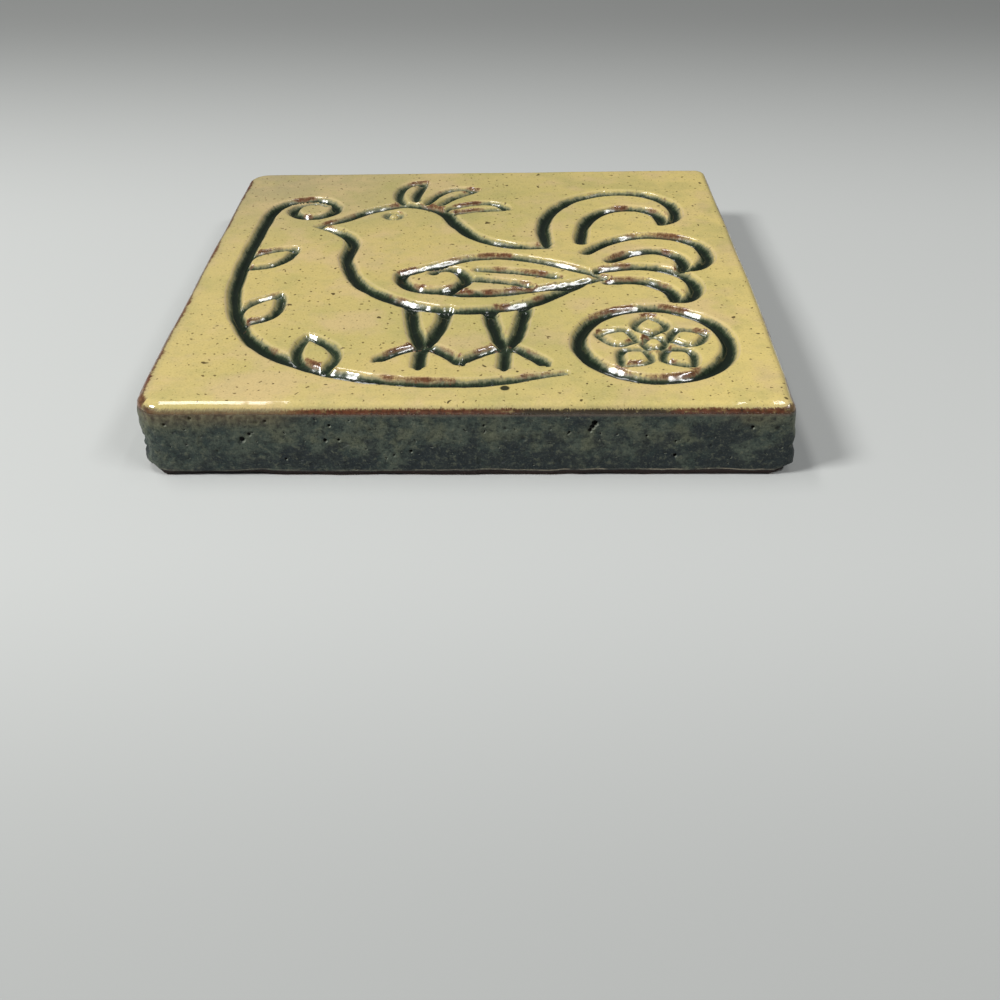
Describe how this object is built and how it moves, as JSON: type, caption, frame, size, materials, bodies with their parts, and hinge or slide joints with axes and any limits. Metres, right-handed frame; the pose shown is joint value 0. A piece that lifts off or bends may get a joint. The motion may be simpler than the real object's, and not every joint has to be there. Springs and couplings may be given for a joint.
{
  "type": "ceramic tile plaque",
  "caption": "Thick square glazed clay tile with rounded corners; its face carries a bird, vine and rosette in sunken dark lines.",
  "frame": {"origin": "middle of the flat underside, where the tile meets the surface it lies on or is fixed to", "axes": "+Z out of the picture face, -Z out of the bed face, -Y towards the picture's foot, +X to the picture's right"},
  "size_m": [0.152, 0.152, 0.019],
  "materials": {
    "glazed_clay": "gloss"
  },
  "bodies": {
    "root": {"tile": "glazed_clay"}
  },
  "joints": []
}
